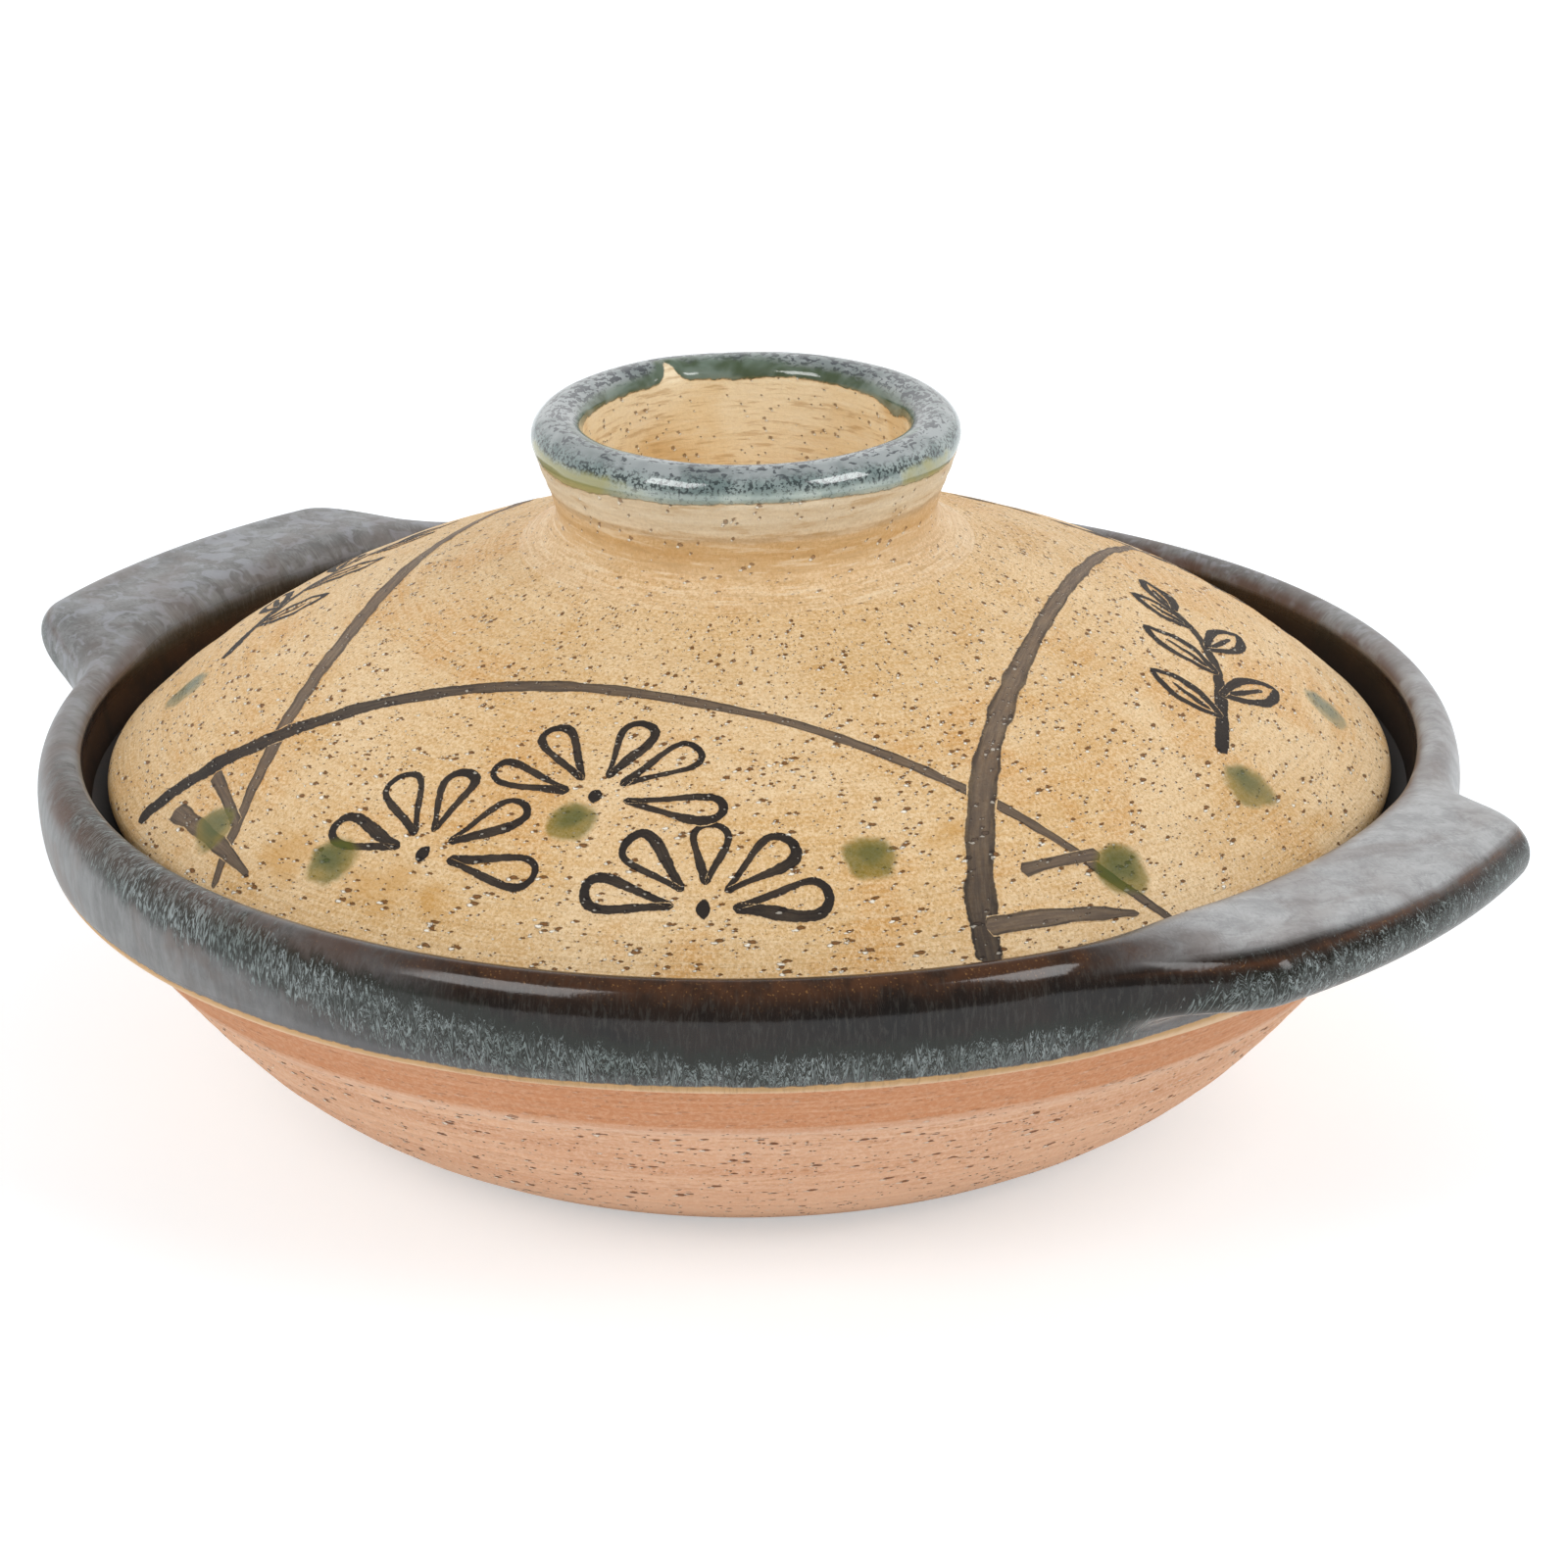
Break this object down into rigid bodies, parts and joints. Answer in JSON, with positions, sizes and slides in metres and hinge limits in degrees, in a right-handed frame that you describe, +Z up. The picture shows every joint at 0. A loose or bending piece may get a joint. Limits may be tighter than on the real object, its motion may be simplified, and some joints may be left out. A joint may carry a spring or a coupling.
{
  "type": "lidded clay cooking pot",
  "caption": "Shallow lidded clay pot for cooking at the table, with lug handles on a rolled glazed rim and a domed lid that drops into the rim and lifts off by a ring knob.",
  "frame": {"origin": "centre of the flat base, on the table", "axes": "+Z up the axis of the pot, +X along the two lugs, towards the right one"},
  "size_m": [0.251, 0.217, 0.1056],
  "materials": {
    "red_clay": "matte, unglazed",
    "dark_glaze": "gloss iron glaze",
    "buff_clay": "satin, coarse clay",
    "lip_glaze": "gloss blue-green glaze",
    "iron_brush": "matte iron pigment"
  },
  "bodies": {
    "pot": {"pot_bowl": "red_clay", "lug_handle_right": "dark_glaze", "lug_handle_left": "dark_glaze"},
    "lid": {"lid_dome": "buff_clay", "lid_knob": "lip_glaze"}
  },
  "joints": [
    {"name": "lid_lift", "type": "slide", "parent": "pot", "child": "lid", "axis": [0, 0, 1], "range_m": [0, 0.12]}
  ]
}
